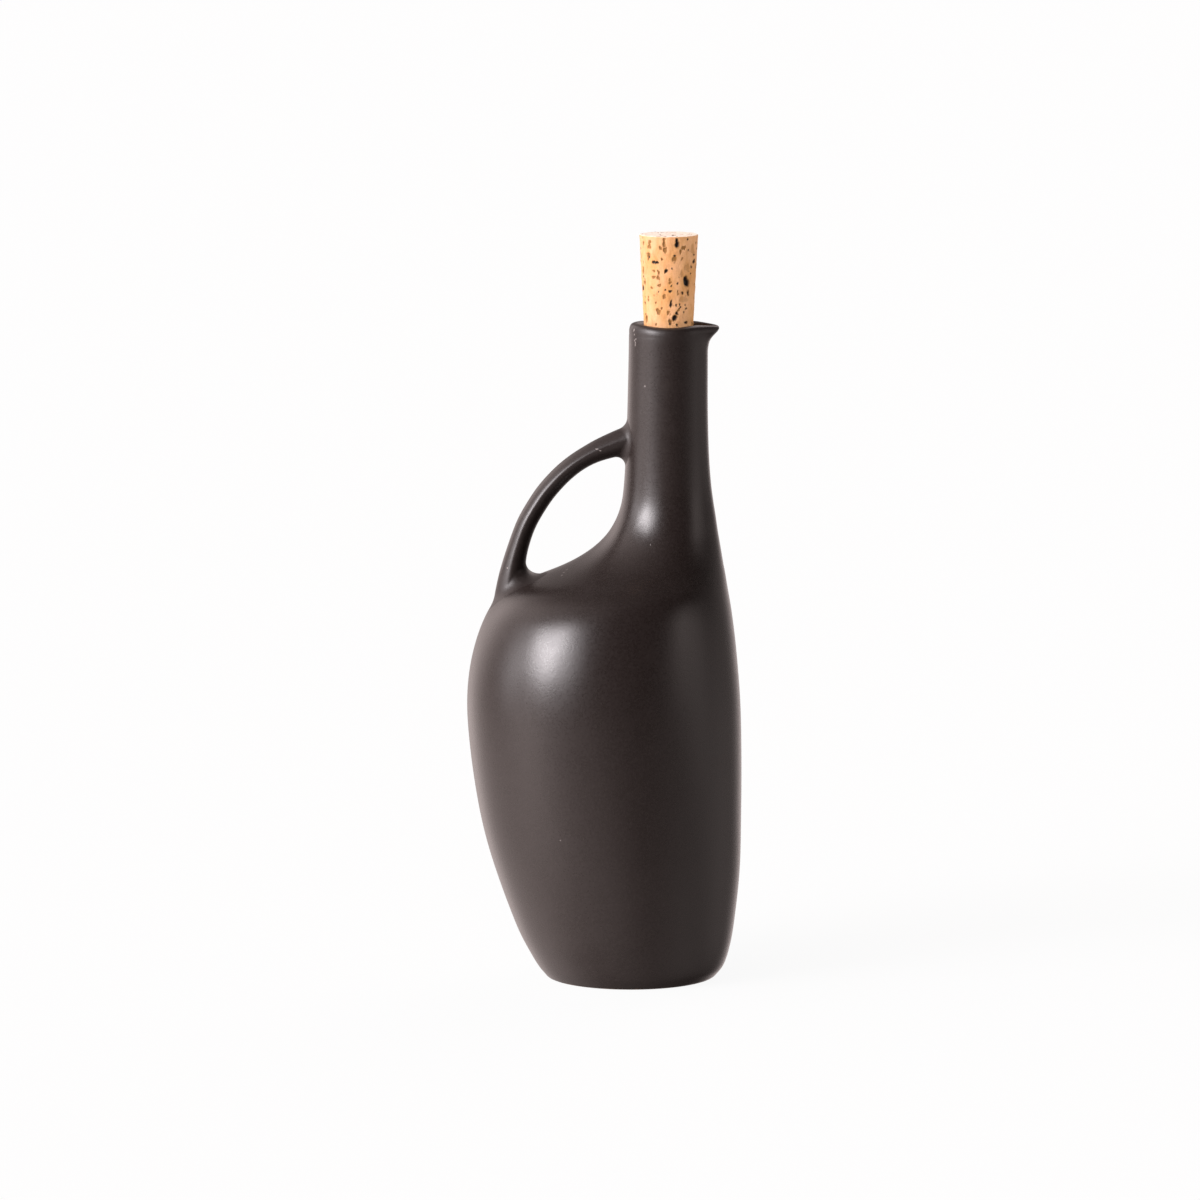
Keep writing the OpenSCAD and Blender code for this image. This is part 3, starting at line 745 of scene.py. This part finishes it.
# seen from underneath the floor is open, so that the foot can be looked at
clear = t.add("ShaderNodeBsdfTransparent")
side = t.add("ShaderNodeNewGeometry").outputs["Backfacing"]
shader = t.add("ShaderNodeMixShader", {0: side, 1: both.outputs[0], 2: clear.outputs[0]})
t.nt.links.new(shader.outputs[0], t.out.inputs[0])
floor_mesh.materials.append(t.mat)
stage_piece(bpy.data.objects.new("floor", floor_mesh))

# a plain pale wall all round
ROWS, COLS = 24, 48
dome_verts = [(0, 0, -11.0), (0, 0, 11.0)]
for i in range(1, ROWS):
    e = -math.pi / 2 + math.pi * i / ROWS
    dome_verts += [(11.0 * math.cos(e) * math.cos(2 * math.pi * j / COLS), 11.0 * math.cos(e) * math.sin(2 * math.pi * j / COLS),
                    11.0 * math.sin(e)) for j in range(COLS)]
dome_faces = []
for j in range(COLS):
    k = (j + 1) % COLS
    dome_faces += [(0, 2 + j, 2 + k), (1, 2 + (ROWS - 2) * COLS + k, 2 + (ROWS - 2) * COLS + j)]
    dome_faces += [(2 + i * COLS + j, 2 + (i + 1) * COLS + j, 2 + (i + 1) * COLS + k, 2 + i * COLS + k) for i in range(ROWS - 2)]
dome_mesh = bpy.data.meshes.new("backdrop")
dome_mesh.from_pydata(dome_verts, [], dome_faces)
t = Tree("pale_backdrop")
t.nt.links.new(t.add("ShaderNodeEmission", {"Color": rgb(1, 1, 1), "Strength": 0.985}).outputs[0], t.out.inputs[0])
dome_mesh.materials.append(t.mat)
stage_piece(bpy.data.objects.new("backdrop", dome_mesh))

# Light: soft sources round the object, as azimuth from the camera's side towards +X, elevation,
# half-width in degrees and radiance. The ones below the horizon stand for the floor's reflection.
KEY_TINT, ROOM_TINT = (1.055, 1.0, 1.03), (1.165, 1.0, 0.97)
KEY = (
    (-66, 22, 6, 23.0), (-54, 17, 6, 26.5), (-48, 27, 6, 17.5), (-38, 20, 9, 7.9), (-86, 12, 9, 3.8),
)
ROOM = (
    (-136, 20, 16, 1.6), (-104, 36, 16, 1.0), (-68, 50, 25, 0.6), (152, 36, 16, 2.8),
    (72, 12, 9, 1.25), (88, 4, 9, 0.6),  # weak fill from the right
    (-152, -12, 16, 1.0), (-125, -30, 25, 0.55), (-97, -30, 25, 0.8), (-72, -12, 16, 1.05), (-56, -12, 16, 0.75),
    (-41, -30, 25, 0.3), (-14, -30, 25, 0.45), (69, -30, 25, 0.5), (104, -12, 16, 0.26), (120, -12, 16, 0.25),
    (168, -12, 16, 1.1), (0, -78, 28, 0.2),
)
world = bpy.data.worlds.new("studio")
bpy.context.scene.world = world
world.use_nodes = True
wt = world.node_tree
wt.nodes.clear()
facing = wt.nodes.new("ShaderNodeTexCoord").outputs["Generated"]


def world_math(op, *values):
    node = wt.nodes.new("ShaderNodeMath")
    node.operation = op
    for i, value in enumerate(values):
        if isinstance(value, bpy.types.NodeSocket):
            wt.links.new(value, node.inputs[i])
        else:
            node.inputs[i].default_value = value
    return node.outputs[0]


def world_light(sources, tint):
    """One background shader for a group of sources."""
    total = 0.0
    for azimuth, elevation, half, radiance in sources:
        a, e = math.radians(azimuth), math.radians(elevation)
        tight = math.log(2) / (1 - math.cos(math.radians(half)))
        dot = wt.nodes.new("ShaderNodeVectorMath")
        dot.operation = "DOT_PRODUCT"
        wt.links.new(facing, dot.inputs[0])
        dot.inputs[1].default_value = (math.sin(a) * math.cos(e), -math.cos(a) * math.cos(e), math.sin(e))
        fall = world_math("EXPONENT", world_math("MULTIPLY_ADD", dot.outputs["Value"], tight, -tight))
        total = world_math("MULTIPLY_ADD", fall, radiance, total)
    bg = wt.nodes.new("ShaderNodeBackground")
    wt.links.new(total, bg.inputs["Strength"])
    bg.inputs["Color"].default_value = (*tint, 1)
    return bg.outputs[0]


both = wt.nodes.new("ShaderNodeAddShader")
wt.links.new(world_light(KEY, KEY_TINT), both.inputs[0])
wt.links.new(world_light(ROOM, ROOM_TINT), both.inputs[1])
out = wt.nodes.new("ShaderNodeOutputWorld")
wt.links.new(both.outputs[0], out.inputs[0])

# a small soft panel beside the stopper, so that its far side keeps its colour
panel = bpy.data.lights.new("stopper_panel", "AREA")
panel.shape, panel.size, panel.size_y, panel.energy = "RECTANGLE", 0.5, 0.5, 10.5
panel.color = (1.0, 0.96, 0.84)
panel_ob = bpy.data.objects.new("stopper_panel", panel)
toward = Vector((math.sin(math.radians(72)) * math.cos(math.radians(12)), -math.cos(math.radians(72)) * math.cos(math.radians(12)),
                 math.sin(math.radians(12))))
panel_ob.location = Vector((NECK_X * MM, 0, 0.245)) + toward * 1.5
panel_ob.rotation_mode = "QUATERNION"
panel_ob.rotation_quaternion = (-toward).to_track_quat("-Z", "Y")
bpy.context.scene.collection.objects.link(panel_ob)
lit = bpy.data.collections.new("lit_by_panel")
lit.objects.link(cork)
panel_ob.light_linking.receiver_collection = lit

view = bpy.context.scene.view_settings
view.view_transform = "Standard"
view.look = "None"
view.exposure = 0.0
view.gamma = 1.0
